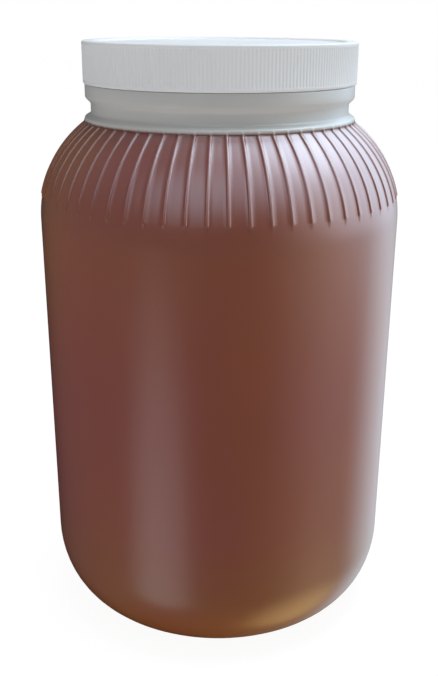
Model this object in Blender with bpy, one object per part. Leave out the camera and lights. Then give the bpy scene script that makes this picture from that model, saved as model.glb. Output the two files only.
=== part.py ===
"""A wide-mouth one-gallon plastic jar of honey with its screw lid on, standing upright.

Metres, +Z up. The origin is the centre of the ring that the jar stands on. Three pieces share the jar's axis:
the blown jar, open at the top, the honey that fills it up to the ring under its neck, and the moulded lid.
Each piece is a stack of rings of points round the axis, joined face by face into one closed skin.
"""

import math

import bmesh
import bpy

# Jar body
BODY_RADIUS = 0.0767  # at the top of the straight wall
WALL_TAPER = 0.0047  # radius lost for each metre of height below there
WALL_TOP_Z = 0.1792
HEEL_WIDTH = 0.0249
HEEL_HEIGHT = 0.0333
STAND_WIDTH = 0.0060  # flat ring that meets the table
BASE_RISE = 0.0040  # how far the middle of the base is pushed up
BASE_CROWN = 0.55  # share of the way out where the push-up turns down
BASE_CROWN_RISE = 0.75  # and the share of its height that it still has there
JAR_WALL = 0.0013

# Shoulder: a quarter of an ellipse about the top of the wall, cut off where it meets the neck
SHOULDER_WIDTH = 0.0572
SHOULDER_HEIGHT = 0.0511
SHOULDER_TOP_RADIUS = 0.0566

# Ribs down the shoulder
RIB_COUNT = 60
RIB_WIDTH = 0.0021
RIB_CREST = 0.0009  # width of the flat on top of a rib
RIB_RISE = 0.0007
RIB_FOOT_Z = 0.1886
RIB_FOOT_SLOPE = 0.0004
RIB_TURN = math.radians(-0.4)

# Neck
NECK_RADIUS = 0.0539
RING_RADIUS = 0.0565
RING_FOOT_Z = 0.2193
RING_HEIGHT = 0.0013
RING_SLOPE = 0.0015
GROOVE_OUTER = (0.0562, 0.2185)  # floor of the groove between shoulder and ring, as radius and height
GROOVE_INNER = (0.0560, 0.2189)
BEAD_RADIUS = 0.0561
BEAD_FOOT_Z = 0.2285
BEAD_HEIGHT = 0.0052
BEAD_ROUND = 0.0011
FINISH_RADIUS = 0.0535
RIM_Z = 0.2482
RIM_EDGE = 0.0004

# Lid
LID_RADIUS = 0.0567
LID_FOOT_Z = 0.2340
LID_TOP_Z = 0.2507
LID_WALL = 0.0015
LID_PLATE = 0.0014
LID_RECESS = 0.0008
LID_LIP = 0.0050  # width of the raised rim round the top
LID_ROUND = 0.0007
LID_BAND = 0.0012  # plain band below the grip
GRIP_COUNT = 240
GRIP_DEPTH = 0.0004

# Honey
GAP = 0.0003  # clearance between pieces that touch
HONEY_TOP_Z = 0.2196  # inside the ring

SIDES = 60
HEEL_STEPS = 5
SHOULDER_STEPS = 6


def sweep(centre, radii, start, end, steps):
    """Points (radius, height) along an elliptic arc, from start to end degrees."""
    points = []
    for step in range(steps + 1):
        angle = math.radians(start + (end - start) * step / steps)
        radius = centre[0] + radii[0] * math.cos(angle)
        height = centre[1] + radii[1] * math.sin(angle)
        points.append((radius, height))
    return points


def shoulder_angle(radius, inset=0.0):
    """Degrees up the shoulder's ellipse, inset by a wall, where it has this radius."""
    across = radius - (BODY_RADIUS - SHOULDER_WIDTH)
    return math.degrees(math.acos(across / (SHOULDER_WIDTH - inset)))


def base_and_heel(inset):
    """The base from its middle outwards and the round heel up to the wall, inset by the wall's thickness."""
    heel_radius = BODY_RADIUS - WALL_TAPER * (WALL_TOP_Z - HEEL_HEIGHT)
    centre = (heel_radius - HEEL_WIDTH, HEEL_HEIGHT)
    radii = (HEEL_WIDTH - inset, HEEL_HEIGHT - inset)
    heel = sweep(centre, radii, -90, 0, HEEL_STEPS)
    stand_inner = centre[0] - STAND_WIDTH
    base = [
        (0.0, BASE_RISE + inset),
        (stand_inner * BASE_CROWN, BASE_RISE * BASE_CROWN_RISE + inset),
        (stand_inner, inset),
    ]
    return base + heel


def shoulder(inset, top_radius):
    """The shoulder from the top of the wall to the radius where it stops."""
    centre = (BODY_RADIUS - SHOULDER_WIDTH, WALL_TOP_Z)
    radii = (SHOULDER_WIDTH - inset, SHOULDER_HEIGHT - inset)
    return sweep(centre, radii, 0, shoulder_angle(top_radius, inset), SHOULDER_STEPS)


def circle(radius, height):
    """A ring of points, turned so that a rib lies midway between two of them."""
    points = []
    for side in range(SIDES):
        angle = math.tau * side / SIDES + RIB_TURN
        points.append((radius * math.cos(angle), radius * math.sin(angle), height))
    return points


def ribbed_circle(radius, height, rise, tilt):
    """A ring across the shoulder's ribs: foot, crest, crest and foot of each, the crests lifted by rise.

    tilt is the shoulder's slope there, so that a crest is lifted square to the surface.
    """
    points = []
    for rib in range(RIB_COUNT):
        middle = math.tau * (rib + 0.5) / RIB_COUNT + RIB_TURN
        crest_radius = radius + rise * math.cos(tilt)
        crest_height = height + rise * math.sin(tilt)
        for across, at_radius, at_height in (
            (-RIB_WIDTH / 2, radius, height),
            (-RIB_CREST / 2, crest_radius, crest_height),
            (RIB_CREST / 2, crest_radius, crest_height),
            (RIB_WIDTH / 2, radius, height),
        ):
            angle = middle + across / at_radius
            x = at_radius * math.cos(angle)
            y = at_radius * math.sin(angle)
            points.append((x, y, at_height))
    return points


def rib_rings():
    """The rings of the ribbed part of the shoulder, from the ribs' squared feet up to the neck's ring."""
    centre_radius = BODY_RADIUS - SHOULDER_WIDTH
    foot_angle = math.asin((RIB_FOOT_Z - WALL_TOP_Z) / SHOULDER_HEIGHT)
    crest_angle = math.asin((RIB_FOOT_Z + RIB_FOOT_SLOPE - WALL_TOP_Z) / SHOULDER_HEIGHT)
    top_angle = math.radians(shoulder_angle(SHOULDER_TOP_RADIUS))
    rings = []
    for step in range(-1, SHOULDER_STEPS + 1):
        share = max(step, 0) / SHOULDER_STEPS
        angle = foot_angle if step < 0 else crest_angle + (top_angle - crest_angle) * share
        radius = centre_radius + SHOULDER_WIDTH * math.cos(angle)
        height = WALL_TOP_Z + SHOULDER_HEIGHT * math.sin(angle)
        tilt = math.atan2(math.sin(angle) / SHOULDER_HEIGHT, math.cos(angle) / SHOULDER_WIDTH)
        rings.append(ribbed_circle(radius, height, RIB_RISE if step >= 0 else 0.0, tilt))
    return rings


def gripped_circle(height):
    """A ring of the lid's side, in and out across its fine vertical grip."""
    points = []
    columns = 2 * GRIP_COUNT
    for column in range(columns):
        angle = math.tau * column / columns + RIB_TURN
        radius = LID_RADIUS - GRIP_DEPTH * (column % 2)
        points.append((radius * math.cos(angle), radius * math.sin(angle), height))
    return points


def next_turns(ring):
    """How far round the axis the point after each one of a ring is, ending with the ring's first point again."""
    turns = [math.atan2(vertex.co.y, vertex.co.x) for vertex in ring]
    return [turns[0] + (turn - turns[0]) % math.tau for turn in turns[1:]] + [turns[0] + math.tau, math.inf]


def join(mesh, lower, upper):
    """Closes the strip between two rings whose first points are near each other.

    Rings with as many points are joined by quads. Otherwise the ring whose next point comes first moves on, one
    triangle at a time.
    """
    if len(lower) == len(upper):
        for side in range(len(lower)):
            after = (side + 1) % len(lower)
            mesh.faces.new((lower[side], lower[after], upper[after], upper[side]))
        return
    lower_turns, upper_turns = next_turns(lower), next_turns(upper)
    low = high = 0
    while low < len(lower) or high < len(upper):
        here, there = lower[low % len(lower)], upper[high % len(upper)]
        if lower_turns[low] <= upper_turns[high]:
            low += 1
            mesh.faces.new((here, lower[low % len(lower)], there))
        else:
            high += 1
            mesh.faces.new((here, upper[high % len(upper)], there))


def close_to_pole(mesh, pole, ring):
    for side in range(len(ring)):
        mesh.faces.new((pole, ring[side], ring[(side + 1) % len(ring)]))


def skin(name, rings, material):
    """A closed object through rings given from the middle of its underside outwards and round to its top.

    A ring of one point is a pole.
    """
    mesh = bmesh.new()
    made = [[mesh.verts.new(point) for point in ring] for ring in rings]
    for lower, upper in zip(made, made[1:]):
        if len(lower) == 1:
            close_to_pole(mesh, lower[0], upper)
        elif len(upper) == 1:
            close_to_pole(mesh, upper[0], lower)
        else:
            join(mesh, lower, upper)
    bmesh.ops.recalc_face_normals(mesh, faces=mesh.faces)
    data = bpy.data.meshes.new(name)
    mesh.to_mesh(data)
    mesh.free()
    data.materials.append(material)
    data.shade_smooth()
    data.set_sharp_from_angle(angle=math.radians(35))
    item = bpy.data.objects.new(name, data)
    bpy.context.scene.collection.objects.link(item)
    return item


def turned(profile):
    """Rings for a plain turned profile, with a pole wherever it reaches the axis."""
    return [circle(radius, height) if radius > 0 else [(0.0, 0.0, height)] for radius, height in profile]


def neck(inset):
    """From the groove above the shoulder up to the rim: ring, neck, bead and finish, inset by a wall."""
    ring_top = RING_FOOT_Z + RING_HEIGHT
    bead_top = BEAD_FOOT_Z + BEAD_HEIGHT - inset
    bead_slope = BEAD_RADIUS - NECK_RADIUS
    return [
        (RING_RADIUS - inset, RING_FOOT_Z),
        (RING_RADIUS - inset, ring_top),
        (NECK_RADIUS - inset, ring_top + RING_SLOPE),
        (NECK_RADIUS - inset, BEAD_FOOT_Z - bead_slope),
        (BEAD_RADIUS - inset, BEAD_FOOT_Z),
        (BEAD_RADIUS - inset, bead_top - BEAD_ROUND),
        (BEAD_RADIUS - BEAD_ROUND - inset, bead_top),
        (FINISH_RADIUS - inset, bead_top),
    ]


def jar_rings():
    outside = turned(base_and_heel(0.0) + [(BODY_RADIUS, WALL_TOP_Z)])
    rim = [
        (FINISH_RADIUS, RIM_Z - RIM_EDGE),
        (FINISH_RADIUS - RIM_EDGE, RIM_Z),
        (FINISH_RADIUS - JAR_WALL + RIM_EDGE, RIM_Z),
        (FINISH_RADIUS - JAR_WALL, RIM_Z - RIM_EDGE),
    ]
    inner_neck = list(reversed(neck(JAR_WALL)))
    inner_shoulder = list(reversed(shoulder(JAR_WALL, SHOULDER_TOP_RADIUS - JAR_WALL)))
    inner_body = list(reversed(base_and_heel(JAR_WALL)))
    inside = inner_neck + inner_shoulder + inner_body
    return outside + rib_rings() + turned([GROOVE_OUTER, GROOVE_INNER] + neck(0.0) + rim + inside)


def lid_rings():
    inner_radius = LID_RADIUS - LID_WALL
    plate_z = LID_TOP_Z - LID_RECESS - LID_PLATE
    lip_radius = LID_RADIUS - LID_LIP
    under = turned([
        (0.0, plate_z),
        (inner_radius, plate_z),
        (inner_radius, LID_FOOT_Z),
        (LID_RADIUS - LID_ROUND, LID_FOOT_Z),
        (LID_RADIUS, LID_FOOT_Z + LID_ROUND),
        (LID_RADIUS, LID_FOOT_Z + LID_BAND),
    ])
    grip = [
        gripped_circle(LID_FOOT_Z + LID_BAND + GRIP_DEPTH),
        gripped_circle(LID_TOP_Z - 2 * LID_ROUND),
    ]
    over = turned([
        (LID_RADIUS, LID_TOP_Z - LID_ROUND),
        (LID_RADIUS - LID_ROUND, LID_TOP_Z),
        (lip_radius, LID_TOP_Z),
        (lip_radius - LID_RECESS, LID_TOP_Z - LID_RECESS),
        (0.0, LID_TOP_Z - LID_RECESS),
    ])
    return under + grip + over


def honey_rings():
    inset = JAR_WALL + GAP
    surface_radius = RING_RADIUS - inset
    sides = base_and_heel(inset) + shoulder(inset, SHOULDER_TOP_RADIUS - inset)
    surface = [(surface_radius, RING_FOOT_Z), (surface_radius, HONEY_TOP_Z), (0.0, HONEY_TOP_Z)]
    return turned(sides + surface)


def plastic(name, colour, roughness, see_through=0.0):
    """A plain material in linear colour."""
    material = bpy.data.materials.new(name)
    material.use_nodes = True
    shader = material.node_tree.nodes["Principled BSDF"]
    shader.inputs["Base Color"].default_value = (*colour, 1.0)
    shader.inputs["Roughness"].default_value = roughness
    shader.inputs["Metallic"].default_value = 0.0
    shader.inputs["Transmission Weight"].default_value = see_through
    return material


def main():
    for item in list(bpy.data.objects):
        bpy.data.objects.remove(item)
    skin("jar", jar_rings(), plastic("milky_plastic", (0.62, 0.58, 0.54), 0.38, 0.6))
    skin("honey", honey_rings(), plastic("honey", (0.17, 0.05, 0.02), 0.15))
    skin("lid", lid_rings(), plastic("white_plastic", (0.82, 0.83, 0.84), 0.45))


main()
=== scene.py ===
"""The looks of a wide-mouth plastic jar of honey: the milky ribbed wall, the honey in it and the white lid.

Metres, +Z up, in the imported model's own frame. Each piece is one closed skin turned round the jar's axis. A
profile of radius and height is carried round a row of angles. Where the surface has relief, such as the ribs
down the shoulder or the grip round the lid, it goes between a plain profile and a raised one.
"""

import math

import bpy
import numpy as np
from mathutils import Euler, Matrix, Vector


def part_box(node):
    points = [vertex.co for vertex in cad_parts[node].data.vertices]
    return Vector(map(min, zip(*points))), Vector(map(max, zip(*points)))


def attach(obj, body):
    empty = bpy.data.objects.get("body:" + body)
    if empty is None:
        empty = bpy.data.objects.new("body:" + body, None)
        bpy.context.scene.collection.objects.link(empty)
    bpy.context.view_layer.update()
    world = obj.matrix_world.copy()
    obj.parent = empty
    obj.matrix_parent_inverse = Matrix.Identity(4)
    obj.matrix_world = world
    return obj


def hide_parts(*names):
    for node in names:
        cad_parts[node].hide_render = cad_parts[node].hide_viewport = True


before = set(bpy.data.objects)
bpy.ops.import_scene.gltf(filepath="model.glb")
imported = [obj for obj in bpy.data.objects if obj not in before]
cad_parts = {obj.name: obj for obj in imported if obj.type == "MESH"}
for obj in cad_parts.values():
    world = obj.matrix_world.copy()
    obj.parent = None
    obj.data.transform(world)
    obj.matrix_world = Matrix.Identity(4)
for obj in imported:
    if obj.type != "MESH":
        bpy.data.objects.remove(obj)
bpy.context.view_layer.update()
lid_low, lid_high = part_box("lid")
jar_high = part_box("jar")[1]
honey_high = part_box("honey")[1]

# Jar body
BODY_RADIUS = jar_high.x
WALL_TAPER = 0.0047  # radius lost for each metre of height below the top of the wall
WALL_TOP_Z = 0.1792
HEEL_WIDTH = 0.0249
HEEL_HEIGHT = 0.0333
STAND_WIDTH = 0.0060
BASE_RISE = 0.0040
BASE_ROUNDNESS = 0.8  # power of the push-up's curve: a low dome that falls quickly at its edge
BASE_ROWS = 10
JAR_WALL = 0.0013
WELD_WIDTH = 0.0016  # the line that the mould pinches across the base
WELD_RISE = 0.0004
WELD_REACH = 0.034
WELD_FADE = 0.004
SEAM_HALF_WIDTH = 0.0005  # the mould's joint up both sides, which only the material shows

# Shoulder and its ribs
SHOULDER_WIDTH = 0.0572
SHOULDER_HEIGHT = 0.0511
SHOULDER_TOP_RADIUS = 0.0566
RIB_COUNT = 60
RIB_WIDTH = 0.0018
RIB_CREST = 0.0006
RIB_RISE = 0.0006
RIB_FOOT_Z = 0.1886
RIB_FOOT_SLOPE = 0.0010
RIB_FOOT_SHARES = np.array([0.5, 0.9, 1.0])  # of a rib's height, row by row up its foot
RIB_TURN = math.radians(-0.4)
RIB_END_OUT = 0.0002  # where a rib's crest runs into the ring, beyond the ring's lower edge
RIB_END_UP = 0.0007
RIB_COLUMNS = np.array([-1.0, -0.86, -0.68, -0.48, 0.0, 0.48, 0.68, 0.86, 1.0])  # in half widths of a rib
BARE_COLUMNS = np.array([0.25, 0.5, 0.75])  # in shares of the bare stretch between two ribs

# Neck
NECK_RADIUS = 0.0539
RING_RADIUS = 0.0565
RING_FOOT_Z = 0.2193
RING_HEIGHT = 0.0013
RING_SLOPE = 0.0015
GROOVE_OUTER = (0.0562, 0.2185)
GROOVE_INNER = (0.0560, 0.2189)
BEAD_RADIUS = 0.0561
BEAD_FOOT_Z = 0.2285
BEAD_HEIGHT = 0.0054
FINISH_RADIUS = 0.0535
RIM_Z = jar_high.z
SPREAD_RADIUS = 0.8 * NECK_RADIUS  # inside this the skin's columns close up towards the axis

# How far back each edge of the neck is rounded
GROOVE_ROUNDS = (0.00015, 0.0002)
NECK_ROUND = 0.0006
NECK_ROUND_INSIDE = 0.0005
RING_ROUND_SHARE = 0.8
BEAD_ROUND = 0.0005
LEDGE_ROUND = 0.0003
RIM_ROUND = 0.0004

# Lid
LID_RADIUS = lid_high.x
LID_FOOT_Z = lid_low.z
LID_TOP_Z = lid_high.z
LID_WALL = 0.0015
LID_PLATE = 0.0014
LID_RECESS = 0.0008
LID_LIP = 0.0050
LID_BAND = 0.0012
LID_ROUND = 0.0007
LID_TOP_ROUND = 1.2 * LID_ROUND
PLATE_ROUND = 0.0006
LIP_ROUND = 0.0003
GRIP_COUNT = 240
GRIP_DEPTH = 0.00025
GRIP_START = 0.0004  # the stretch at each end of the grip over which its grooves grow
GRIP_START_SHARES = np.array([0.33, 0.67, 1.0])
GRIP_SHARPNESS = 1.5
GRIP_COLUMNS = 6  # to each groove
GATE_RADIUS = 0.0011  # the dimple that the moulding leaves in the middle of the lid
GATE_DEPTH = 0.0003

# Honey
OVERLAP = 0.0002  # how far the honey reaches into the wall
HONEY_TOP_Z = honey_high.z
BRIM_START = 0.0002  # how far below the ring the honey's upright edge begins
CURL_HEIGHT = 0.0012  # how far the surface is drawn up at the wall
CURL_SHARPNESS = 8
HONEY_COLUMNS = 240
LEVEL_FADE_BELOW = 0.0008  # the stretch about the level over which the wall turns from wet to dry
LEVEL_FADE_ABOVE = 0.0004

# The camera, where it stands and how it looks
CAMERA_PLACE = (0.0, -0.4000, 0.2613)
CAMERA_PITCH = 0.338
CAMERA_ROLL = 0.005
CAMERA_LENS_MM = 49.25
CAMERA_FILM_MM = 36.0
CAMERA_SHIFT = 0.0006

# The floor and the large lamp over the jar
FLOOR_RADIUS = 6.0
FLOOR_DROP = 0.0002
FLOOR_SIDES = 64
FLOOR_GLOW = 0.94
LAMP_TOWARDS = (0.15, 0.01, 0.99)
LAMP_TARGET = (0.0, 0.0, 0.20)
LAMP_DISTANCE = 1.5
LAMP_SIZE = 0.80
LAMP_WATTS = 15.0
LAMP_COLOUR = (0.92, 0.96, 1.0)

# Soft panels that only gloss shows: the way to each from the jar, degrees from middle to edge, strength
WHITE_PANELS = (
    ((-0.53, -0.63, -0.57), 22, 1.0),
    ((0.60, 0.50, -0.62), 40, 0.10),
)
COOL_PANELS = (
    ((-0.31, -0.71, 0.63), 32, 1.7),
    ((0.75, 0.25, 0.62), 62, 3.2),
    ((0.56, 0.13, 0.82), 27, 4.0),
    ((0.62, 0.62, -0.44), 34, 0.7),
)
WARM_PANELS = (
    ((0.52, -0.12, -0.84), 26, 1.2),
    ((0.60, 0.50, -0.62), 40, 0.1),
)


def arc(centre, radii, start, end, steps):
    """Points (radius, height) on an ellipse about centre, from start to end degrees."""
    turn = np.radians(np.linspace(start, end, steps + 1))
    return np.column_stack([centre[0] + radii[0] * np.cos(turn), centre[1] + radii[1] * np.sin(turn)])


def line(start, end, steps):
    """Points in even steps from start to end, without the two ends."""
    share = np.linspace(0.0, 1.0, steps + 1)[1:-1, None]
    return np.asarray(start) * (1 - share) + np.asarray(end) * share


def eased(corners, cuts, steps=4):
    """The line through corners with each inner corner rounded.

    A rounded corner is a parabola. It leaves one side a cut before the corner and meets the next side a cut
    after it.
    """
    corners = np.asarray(corners, float)
    share = np.linspace(0.0, 1.0, steps + 1)[:, None]
    parts = [corners[:1]]
    for before, corner, after, cut in zip(corners, corners[1:], corners[2:], cuts):
        start = corner + cut * (before - corner) / np.linalg.norm(before - corner)
        end = corner + cut * (after - corner) / np.linalg.norm(after - corner)
        parts.append((1 - share) ** 2 * start + 2 * share * (1 - share) * corner + share**2 * end)
    return np.concatenate(parts + [corners[-1:]])


def smooth(value, low, high):
    """0 below low, 1 above high and an S curve between: 3t squared less 2t cubed."""
    t = np.clip((value - low) / (high - low), 0.0, 1.0)
    return t * t * (3 - 2 * t)


def turned_skin(name, radius, height, angle, material):
    """A closed skin over a grid: a point is radius out and height up, angle round the axis.

    Rows run from the middle of the underside outwards, up and round. The first and last row are one point
    each.
    """
    grid = np.stack(np.broadcast_arrays(radius * np.cos(angle), radius * np.sin(angle), height), axis=-1)
    rows, columns = grid.shape[:2]
    vertices = np.concatenate([grid[1:-1].reshape(-1, 3), grid[[0, -1], 0]])
    here = np.arange((rows - 2) * columns).reshape(rows - 2, columns)
    after = np.roll(here, -1, axis=1)
    quads = np.stack([here[:-1], after[:-1], after[1:], here[1:]], axis=-1).reshape(-1, 4)
    first_pole = np.full(columns, len(vertices) - 2)
    last_pole = first_pole + 1
    fans = np.concatenate([
        np.stack([first_pole, after[0], here[0]], axis=-1),
        np.stack([here[-1], after[-1], last_pole], axis=-1),
    ])
    mesh = bpy.data.meshes.new(name)
    mesh.from_pydata(vertices.tolist(), [], quads.tolist() + fans.tolist())
    mesh.validate()
    mesh.shade_smooth()
    mesh.materials.append(material)
    piece = bpy.data.objects.new(name, mesh)
    bpy.context.scene.collection.objects.link(piece)
    return piece


def heel_centre():
    """The middle of the heel's ellipse, where the tapered wall meets it."""
    heel_radius = BODY_RADIUS - WALL_TAPER * (WALL_TOP_Z - HEEL_HEIGHT)
    return heel_radius - HEEL_WIDTH, HEEL_HEIGHT


def base_profile(inset):
    """The base from its middle to the heel: a low dome, then the flat ring that the jar stands on.

    The dome's height is 1 less the square of the way out, to the power of its roundness.
    """
    edge = heel_centre()[0] - STAND_WIDTH
    share = np.linspace(0.0, 1.0, BASE_ROWS)
    dome = BASE_RISE * (1 - share**2) ** BASE_ROUNDNESS
    return np.column_stack([edge * share, dome + inset])


def body_profile(inset):
    """From the middle of the base out round the heel and up the wall to the foot of the shoulder."""
    heel = arc(heel_centre(), (HEEL_WIDTH - inset, HEEL_HEIGHT - inset), -90, 0, 16)
    wall = line(heel[-1], (BODY_RADIUS - inset, WALL_TOP_Z), 6)
    return np.concatenate([base_profile(inset), heel, wall])


def shoulder_angle(radius, inset=0.0):
    """Degrees up the shoulder's ellipse where it has this radius."""
    return math.degrees(math.acos((radius - BODY_RADIUS + SHOULDER_WIDTH) / (SHOULDER_WIDTH - inset)))


def shoulder_profile(inset, start, end, steps):
    """The shoulder's quarter ellipse between two of its angles in degrees."""
    centre = (BODY_RADIUS - SHOULDER_WIDTH, WALL_TOP_Z)
    return arc(centre, (SHOULDER_WIDTH - inset, SHOULDER_HEIGHT - inset), start, end, steps)


def lifted(profile, rise):
    """A shoulder's profile moved outwards, square to its ellipse."""
    across = (profile[:, 0] - BODY_RADIUS + SHOULDER_WIDTH) / SHOULDER_WIDTH**2
    up = (profile[:, 1] - WALL_TOP_Z) / SHOULDER_HEIGHT**2
    square = np.column_stack([across, up]) / np.hypot(across, up)[:, None]
    return profile + square * np.reshape(rise, (-1, 1))


def neck_profile(inset, ease):
    """Corners from the ring's lower edge up to the ledge above the bead, and how far each is rounded."""
    ring_top = RING_FOOT_Z + RING_HEIGHT
    bead_slope = BEAD_RADIUS - NECK_RADIUS
    bead_top = BEAD_FOOT_Z + BEAD_HEIGHT - inset
    corners = [
        (RING_RADIUS - inset, RING_FOOT_Z),
        (RING_RADIUS - inset, ring_top),
        (NECK_RADIUS - inset, ring_top + RING_SLOPE),
        (NECK_RADIUS - inset, BEAD_FOOT_Z - bead_slope),
        (BEAD_RADIUS - inset, BEAD_FOOT_Z),
        (BEAD_RADIUS - inset, bead_top),
        (FINISH_RADIUS - inset, bead_top),
    ]
    return corners, [RING_ROUND_SHARE * ease, ease, ease, ease, BEAD_ROUND]


def rib_columns(radius):
    """(angle, weight) of each column round the jar, for rows of this radius.

    A rib has columns at set widths from its middle, and the bare stretch beside it has them in even shares.
    Nearer the axis than the spread's radius, the columns keep the angles that they have there. A rib's weight
    is 1 on its crest and falls in an S curve to 0 at its edges.
    """
    across = RIB_WIDTH / 2 * RIB_COLUMNS
    pitch = math.tau / RIB_COUNT
    reach = np.maximum(radius, SPREAD_RADIUS)[:, None]
    on_rib = across / reach
    beside = RIB_WIDTH / 2 / reach + BARE_COLUMNS * (pitch - RIB_WIDTH / reach)
    offset = np.concatenate([on_rib, beside], axis=1)
    middle = pitch * (np.arange(RIB_COUNT) + 0.5) + RIB_TURN
    angle = (middle[None, :, None] + offset[:, None, :]).reshape(len(radius), -1)
    weight = smooth(RIB_WIDTH / 2 - np.abs(across), 0.0, (RIB_WIDTH - RIB_CREST) / 2)
    return angle, np.tile(np.append(weight, np.zeros(len(BARE_COLUMNS))), RIB_COUNT)


def jar_skin(material):
    """The blown jar: base, heel, wall, ribbed shoulder, groove, ring, neck, bead and rim, then back inside.

    The plain profile has the groove and no ribs. The crest profile is what the top of a rib follows, over the
    groove as well, and each column of the skin lies between the two by the rib's weight there. The weld line
    hangs under the base by an S curve across it and another along it.
    """
    foot = math.degrees(math.asin((RIB_FOOT_Z - WALL_TOP_Z) / SHOULDER_HEIGHT))
    foot_top = math.degrees(math.asin((RIB_FOOT_Z + RIB_FOOT_SLOPE - WALL_TOP_Z) / SHOULDER_HEIGHT))
    shoulder_end = shoulder_angle(SHOULDER_TOP_RADIUS)
    below = np.concatenate([body_profile(0.0), shoulder_profile(0.0, 0, foot, 4)])
    ramp = shoulder_profile(0.0, foot, foot_top, len(RIB_FOOT_SHARES))[1:]
    ribbed = shoulder_profile(0.0, foot_top, shoulder_end, 18)[1:]
    ridge = np.concatenate([lifted(ramp, RIB_RISE * RIB_FOOT_SHARES), lifted(ribbed, RIB_RISE)])

    neck_corners, neck_cuts = neck_profile(0.0, NECK_ROUND)
    groove = eased([ribbed[-1], GROOVE_OUTER, GROOVE_INNER, neck_corners[0]], GROOVE_ROUNDS, 2)[1:]
    bridge_end = (RING_RADIUS + RIB_END_OUT, RING_FOOT_Z + RIB_END_UP)
    bridge = np.concatenate([line(ridge[-1], bridge_end, len(groove)), [bridge_end]])
    rim = [(FINISH_RADIUS, RIM_Z), (FINISH_RADIUS - JAR_WALL, RIM_Z)]
    inner_corners, inner_cuts = neck_profile(JAR_WALL, NECK_ROUND_INSIDE)
    corners = neck_corners + rim + inner_corners[::-1]
    cuts = neck_cuts + [LEDGE_ROUND, RIM_ROUND, RIM_ROUND, LEDGE_ROUND] + inner_cuts[::-1]
    neck_and_rim = eased(corners, cuts, 2)[1:]

    inner_end = shoulder_angle(SHOULDER_TOP_RADIUS - JAR_WALL, JAR_WALL)
    inside = np.concatenate([shoulder_profile(JAR_WALL, inner_end, 0, 8), body_profile(JAR_WALL)[::-2]])
    inside[-1, 0] = 0.0
    plain = np.concatenate([below, ramp, ribbed, groove, neck_and_rim, inside])
    crest = plain.copy()
    crest[len(below):len(below) + len(ridge)] = ridge
    crest[len(below) + len(ridge):len(below) + len(ridge) + len(groove)] = bridge
    angle, weight = rib_columns(plain[:, 0])
    radius = plain[:, :1] + (crest - plain)[:, :1] * weight
    height = plain[:, 1:] + (crest - plain)[:, 1:] * weight

    underside = (np.arange(len(plain)) < BASE_ROWS)[:, None]
    from_line = np.abs(radius * np.sin(angle))
    weld = smooth(WELD_WIDTH / 2 - from_line, 0.0, WELD_WIDTH / 2)
    weld = weld * smooth(WELD_REACH - radius, 0.0, WELD_FADE)
    return turned_skin("jar_wall", radius, height - WELD_RISE * weld * underside, angle, material)


def lid_skin(material):
    """The moulded lid: plate, skirt, plain band, fine upright grip, rounded edge, raised lip, shallow recess.

    The grip's grooves are cut into the radius. Their depth is a raised cosine round the lid, to a power, and
    it grows from both ends of the grip in an S curve.
    """
    inner_radius = LID_RADIUS - LID_WALL
    floor_z = LID_TOP_Z - LID_RECESS
    plate_z = floor_z - LID_PLATE
    lip_radius = LID_RADIUS - LID_LIP
    grip_foot = LID_FOOT_Z + LID_BAND
    grip_top = LID_TOP_Z - 2 * LID_ROUND
    under = eased(
        [(0.0, plate_z), (inner_radius, plate_z), (inner_radius, LID_FOOT_Z), (LID_RADIUS, LID_FOOT_Z),
         (LID_RADIUS, grip_foot)],
        [PLATE_ROUND, LIP_ROUND, LID_ROUND],
    )
    fade = GRIP_START * GRIP_START_SHARES
    middle = (grip_foot + grip_top) / 2
    side_z = np.concatenate([grip_foot + fade, [middle], grip_top - fade[::-1], [grip_top]])
    side = np.column_stack([np.full(len(side_z), LID_RADIUS), side_z])
    recess = line((lip_radius - 2 * LID_RECESS, floor_z), (GATE_RADIUS, floor_z), 6)
    edge_and_lip = eased(
        [side[-1], (LID_RADIUS, LID_TOP_Z), (lip_radius, LID_TOP_Z), (lip_radius - LID_RECESS, floor_z),
         recess[0]],
        [LID_TOP_ROUND, LIP_ROUND, LIP_ROUND], 5,
    )[1:]
    gate = [
        (GATE_RADIUS, floor_z),
        (0.8 * GATE_RADIUS, floor_z - 0.7 * GATE_DEPTH),
        (0.5 * GATE_RADIUS, floor_z - GATE_DEPTH),
        (0.0, floor_z - GATE_DEPTH),
    ]
    profile = np.concatenate([under, side, edge_and_lip, recess[1:], gate])
    angle = np.linspace(0.0, math.tau, GRIP_COLUMNS * GRIP_COUNT, endpoint=False)[None, :] + RIB_TURN
    groove = (0.5 + 0.5 * np.cos(GRIP_COUNT * (angle - RIB_TURN))) ** GRIP_SHARPNESS
    outside = profile[:, 0] > LID_RADIUS - 1e-6
    from_ends = np.minimum(profile[:, 1] - grip_foot, grip_top - profile[:, 1])
    cut = GRIP_DEPTH * smooth(from_ends, 0.0, GRIP_START) * outside
    radius = profile[:, :1] - cut[:, None] * groove
    return turned_skin("lid_cap", radius, profile[:, 1:], angle, material)


def honey_skin(material):
    """The honey: the inside of the jar up to its level, a little way into the wall.

    Its surface is drawn up at the wall: it lies below its edge by 1 less a high power of the way out.
    """
    inset = JAR_WALL - OVERLAP
    end = shoulder_angle(SHOULDER_TOP_RADIUS - inset, inset)
    sides = np.concatenate([body_profile(inset), shoulder_profile(inset, 0, end, 14)])
    brim_radius = RING_RADIUS - inset
    brim = [(brim_radius, RING_FOOT_Z - BRIM_START), (brim_radius, HONEY_TOP_Z)]
    share = np.linspace(1.0, 0.0, 9)[1:]
    drop = CURL_HEIGHT * (1 - share**CURL_SHARPNESS)
    surface = np.column_stack([brim_radius * share, HONEY_TOP_Z - drop])
    profile = np.concatenate([sides, brim, surface])
    angle = np.linspace(0.0, math.tau, HONEY_COLUMNS, endpoint=False)[None, :]
    return turned_skin("honey_fill", profile[:, :1], profile[:, 1:], angle, material)


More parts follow.
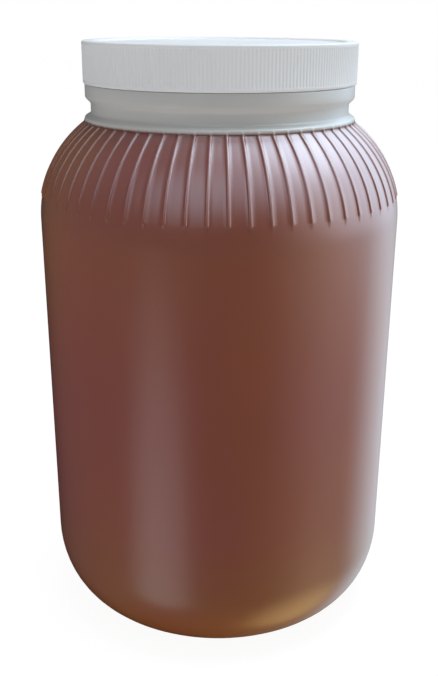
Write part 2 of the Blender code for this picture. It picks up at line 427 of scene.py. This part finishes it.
class Wire:
    """A node's output. Arithmetic on it adds the Math node that works the result out."""

    def __init__(self, tree, socket=None):
        self.tree = tree
        self.socket = socket

    def add(self, kind, settings=(), inputs=()):
        """A new node of this kind, as the wire of its first output. Its settings come before its inputs."""
        node = self.tree.nodes.new(kind)
        for name, value in dict(settings).items():
            if name == "stops":
                fill_ramp(node.color_ramp, value)
            else:
                setattr(node, name, value)
        for name, value in dict(inputs).items():
            if isinstance(value, Wire):
                self.tree.links.new(value.socket, node.inputs[name])
            else:
                socket = node.inputs[name]
                socket.default_value = (*value, 1.0) if socket.type == "RGBA" else value
        return Wire(self.tree, node.outputs[0] if len(node.outputs) else None)

    def output(self, name):
        """Another output of this wire's node."""
        return Wire(self.tree, self.socket.node.outputs[name])

    def math(self, operation, *values):
        return self.add("ShaderNodeMath", {"operation": operation}, enumerate(values))

    def __add__(self, other):
        return self.math("ADD", self, other)

    __radd__ = __add__

    def __sub__(self, other):
        return self.math("SUBTRACT", self, other)

    def __rsub__(self, other):
        return self.math("SUBTRACT", other, self)

    def __mul__(self, other):
        return self.math("MULTIPLY", self, other)

    __rmul__ = __mul__

    def __truediv__(self, other):
        return self.math("DIVIDE", self, other)

    def __rtruediv__(self, other):
        return self.math("DIVIDE", other, self)

    def __pow__(self, other):
        return self.math("POWER", self, other)

    def __abs__(self):
        return self.math("ABSOLUTE", self)

    def at_least(self, low):
        return self.math("MAXIMUM", self, low)

    def at_most(self, high):
        return self.math("MINIMUM", self, high)

    def step(self, low, high):
        """0 below low, 1 above high and an S curve between."""
        curve = {"interpolation_type": "SMOOTHSTEP"}
        return self.add("ShaderNodeMapRange", curve, {"Value": self, "From Min": low, "From Max": high})

    def mix(self, low, high):
        """The colour low where this wire is 0 and high where it is 1."""
        made = self.add("ShaderNodeMix", {"data_type": "RGBA"}, {0: self, 6: low, 7: high})
        return made.output(2)

    def part(self, letter):
        """The X, Y or Z of the place or direction that this wire holds."""
        return self.add("ShaderNodeSeparateXYZ", {}, {0: self}).output(letter)

    def dot(self, other):
        """This direction's length along another one."""
        made = self.add("ShaderNodeVectorMath", {"operation": "DOT_PRODUCT"}, {0: self, 1: other})
        return made.output("Value")

    def times(self, other):
        """This colour multiplied by another one."""
        made = self.add("ShaderNodeVectorMath", {"operation": "MULTIPLY"}, {0: self, 1: other})
        return made.output("Vector")

    def noise(self, scale, detail=2.0, stretch=(1.0, 1.0, 1.0)):
        """Soft noise from 0 to 1 over the place that this wire holds."""
        place = self.add("ShaderNodeMapping", {}, {"Vector": self, "Scale": stretch})
        return self.add("ShaderNodeTexNoise", {}, {"Vector": place, "Scale": scale, "Detail": detail})


def fill_ramp(ramp, stops):
    """Sets a colour ramp's stops from pairs of place and colour."""
    while len(ramp.elements) < len(stops):
        ramp.elements.new(1.0)
    for element, (place, colour) in zip(ramp.elements, stops):
        element.position = place
        element.color = (*colour, 1.0)


def new_material(name):
    """An empty material, and a wire on its object coordinates."""
    material = bpy.data.materials.new(name)
    material.use_nodes = True
    material.node_tree.nodes.clear()
    place = Wire(material.node_tree).add("ShaderNodeTexCoord").output("Object")
    return material, place


def milky_plastic():
    """The wall: a thin milky skin that the honey shows through, paler and thicker above the honey's level.

    Haze is the share of the wall's own colour in what is seen. A look aslant goes through more of the skin,
    so what the skin lets through is raised to the power of 1 over the cosine of the angle. The colour changes
    with height, and low down it is more amber: a painted glow of light coming through the honey at the heel.
    Soft noise tints it violet in some places and amber in others.
    """
    material, place = new_material("milky_plastic")
    height = place.part("Z")
    dry = height.step(HONEY_TOP_Z - LEVEL_FADE_BELOW, HONEY_TOP_Z + LEVEL_FADE_ABOVE)
    high = height.step(WALL_TOP_Z, HONEY_TOP_Z)
    cloud = place.noise(26.0, 3.0)
    streak = place.noise(110.0, 2.0, (1.0, 1.0, 0.12))

    cosine = 1 - place.add("ShaderNodeLayerWeight", {}, {"Blend": 0.5}).output("Facing")
    haze = 0.75 + 0.06 * high + 0.07 * dry + 0.06 * (cloud - 0.5) + 0.04 * (streak - 0.5)
    haze = 1 - (1 - haze) ** (1 / cosine.at_least(0.05))

    # The lowest stops are more amber: a painted glow of light coming through the honey at the heel.
    wet_colour_with_painted_glow = place.add("ShaderNodeValToRGB", {"stops": [
        (0.00, (0.274, 0.080, 0.0160)),
        (0.03, (0.283, 0.086, 0.0260)),
        (0.06, (0.290, 0.071, 0.0375)),
        (0.11, (0.292, 0.069, 0.0400)),
        (0.14, (0.303, 0.077, 0.0345)),
        (0.175, (0.313, 0.093, 0.0360)),
        (0.20, (0.272, 0.097, 0.0630)),
    ]}, {0: height})
    violet_or_amber = place.noise(12.0, 1.0, (1.0, 1.0, 0.6)).step(0.36, 0.64)
    tint = violet_or_amber.mix((0.98, 0.93, 1.18), (1.02, 1.07, 0.85))
    colour = dry.mix(wet_colour_with_painted_glow.times(tint), (0.615, 0.61, 0.585))

    seam = 1 - abs(place.part("Y")).step(0.0, SEAM_HALF_WIDTH)
    ripple = place.noise(45.0, 1.0, (1.0, 1.0, 0.4)) + 0.30 * seam
    relief = place.add("ShaderNodeBump", {}, {"Strength": 0.25, "Distance": 0.0004, "Height": ripple})
    surface = place.add("ShaderNodeBsdfPrincipled", {}, {
        "Base Color": colour, "Roughness": 0.30 + 0.06 * cloud + 0.08 * dry, "IOR": 1.5, "Normal": relief,
        "Coat Weight": 1 - 0.6 * dry, "Coat Roughness": 0.26, "Coat IOR": 1.62,
    })
    clear = place.add("ShaderNodeBsdfTransparent", {}, {"Color": (0.97, 0.96, 0.94)})
    wall = place.add("ShaderNodeMixShader", {}, {0: haze, 1: clear, 2: surface})
    place.add("ShaderNodeOutputMaterial", {}, {"Surface": wall})
    return material


def honey_body():
    """Dark red-brown honey, more amber low down where light gets through the heel."""
    material, place = new_material("dark_honey")
    cloud = place.noise(14.0, 2.0, (1.0, 1.0, 0.6))
    level = place.part("Z") + 0.03 * (cloud - 0.5)
    colour = place.add("ShaderNodeValToRGB", {"stops": [
        (0.00, (0.50, 0.14, 0.034)),
        (0.03, (0.50, 0.12, 0.034)),
        (0.08, (0.50, 0.100, 0.038)),
        (0.16, (0.50, 0.100, 0.036)),
        (0.21, (0.50, 0.108, 0.036)),
    ]}, {0: level})
    surface = place.add("ShaderNodeBsdfPrincipled", {}, {
        "Base Color": colour, "Roughness": 0.35, "IOR": 1.33,
    })
    place.add("ShaderNodeOutputMaterial", {}, {"Surface": surface})
    return material


def white_plastic():
    """The lid: moulded white plastic with a soft sheen and a fine matt grain."""
    material, place = new_material("white_plastic")
    cloud = place.noise(40.0, 3.0)
    grain = place.noise(1600.0, 2.0) + 0.8 * cloud
    colour = cloud.mix((0.80, 0.81, 0.82), (0.83, 0.84, 0.85))
    relief = place.add("ShaderNodeBump", {}, {"Strength": 0.2, "Distance": 0.0002, "Height": grain})
    surface = place.add("ShaderNodeBsdfPrincipled", {}, {
        "Base Color": colour, "Roughness": 0.34 + 0.14 * cloud, "IOR": 1.5, "Normal": relief,
    })
    place.add("ShaderNodeOutputMaterial", {}, {"Surface": surface})
    return material


def lay_floor():
    """A plain white floor, glowing a little, which gloss on the jar doesn't show."""
    material, place = new_material("white_floor")
    surface = place.add("ShaderNodeBsdfPrincipled", {}, {
        "Base Color": (0.12, 0.12, 0.12), "Roughness": 0.9, "Specular IOR Level": 0.0,
        "Emission Color": (1.0, 1.0, 1.0), "Emission Strength": FLOOR_GLOW,
    })
    place.add("ShaderNodeOutputMaterial", {}, {"Surface": surface})
    turn = np.linspace(0.0, math.tau, FLOOR_SIDES, endpoint=False)
    level = np.full(FLOOR_SIDES, -FLOOR_DROP)
    edge = np.column_stack([FLOOR_RADIUS * np.cos(turn), FLOOR_RADIUS * np.sin(turn), level])
    mesh = bpy.data.meshes.new("floor")
    mesh.from_pydata(edge.tolist(), [], [list(range(FLOOR_SIDES))])
    mesh.materials.append(material)
    floor = bpy.data.objects.new("floor", mesh)
    floor.visible_glossy = False
    bpy.context.scene.collection.objects.link(floor)


def light_surround():
    """The world: a white backdrop for the camera, a pale light that grows upwards, and what gloss sees.

    Gloss sees a pale glow at the right, weaker behind and fading downwards, and a cool ceiling that brightens
    to the right. Soft panels of white, cool and warm light stand all round.
    """
    world = bpy.data.worlds.new("studio")
    world.use_nodes = True
    world.node_tree.nodes.clear()
    bpy.context.scene.world = world
    direction = Wire(world.node_tree).add("ShaderNodeTexCoord").output("Generated")
    mirrored = direction.add("ShaderNodeLightPath").output("Is Glossy Ray")
    seen = direction.add("ShaderNodeLightPath").output("Is Camera Ray")
    across = direction.part("X")
    back = direction.part("Y")
    up = direction.part("Z")

    def shine(panels):
        """Soft round panels added up, each full at its middle and nothing beyond its edge."""
        return sum(
            strength * direction.dot(Vector(towards).normalized()).step(math.cos(math.radians(spread)), 1.0)
            for towards, spread, strength in panels
        )

    def light(colour, strength):
        return direction.add("ShaderNodeBackground", {}, {"Color": colour, "Strength": strength})

    pale = 0.10 + 0.50 * up.step(0.1, 0.9)
    glow = (1.45 + 2.0 * up.at_most(0.0)).at_least(0.5)
    glow = glow * direction.dot((0.9, 0.35, 0.0)).step(0.0, 0.95) * (1 - 0.75 * back.step(-0.3, 0.3))
    ceiling = up.step(0.25, 0.95) * (0.06 + 1.75 * across.step(-0.5, 0.2))
    ceiling = ceiling + 0.08 * (1 - across.step(-1.0, -0.2))
    white = light((0.97, 0.98, 1.0), pale + mirrored * (glow + shine(WHITE_PANELS) - pale))
    cool = light((0.70, 0.93, 1.14), mirrored * (ceiling + shine(COOL_PANELS)))
    warm = light((1.0, 0.72, 0.25), mirrored * shine(WARM_PANELS))
    lit = direction.add("ShaderNodeAddShader", {}, {0: white, 1: cool})
    lit = direction.add("ShaderNodeAddShader", {}, {0: lit, 1: warm})
    backdrop = light((1.0, 1.0, 1.0), 1.0)
    both = direction.add("ShaderNodeMixShader", {}, {0: seen, 1: lit, 2: backdrop})
    direction.add("ShaderNodeOutputWorld", {}, {"Surface": both})


def hang_lamp():
    """One large soft lamp over the jar, a little to the right."""
    lamp = bpy.data.lights.new("window", "AREA")
    lamp.shape = "DISK"
    lamp.size = LAMP_SIZE
    lamp.energy = LAMP_WATTS
    lamp.color = LAMP_COLOUR
    window = bpy.data.objects.new("window", lamp)
    towards = Vector(LAMP_TOWARDS)
    window.location = Vector(LAMP_TARGET) + LAMP_DISTANCE * towards
    window.rotation_euler = towards.to_track_quat("Z", "Y").to_euler()
    window.visible_glossy = False
    bpy.context.scene.collection.objects.link(window)


def place_camera():
    """A camera in front of the jar and above it, tipped down and rolled a little, with no film curve."""
    camera_data = bpy.data.cameras.new("camera")
    camera_data.sensor_fit = "VERTICAL"
    camera_data.sensor_height = CAMERA_FILM_MM
    camera_data.lens = CAMERA_LENS_MM
    camera_data.shift_x = CAMERA_SHIFT
    camera = bpy.data.objects.new("camera", camera_data)
    camera.location = CAMERA_PLACE
    level = Euler((math.pi / 2 - CAMERA_PITCH, 0.0, 0.0)).to_matrix()
    camera.rotation_euler = (level @ Matrix.Rotation(CAMERA_ROLL, 3, "Z")).to_euler()
    bpy.context.scene.collection.objects.link(camera)
    bpy.context.scene.camera = camera
    bpy.context.scene.view_settings.view_transform = "Standard"


def dress(piece, node):
    """Puts a finished piece in the place of its CAD node."""
    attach(piece, "root")
    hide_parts(node)


place_camera()
lay_floor()
light_surround()
hang_lamp()
dress(jar_skin(milky_plastic()), "jar")
dress(honey_skin(honey_body()), "honey")
dress(lid_skin(white_plastic()), "lid")
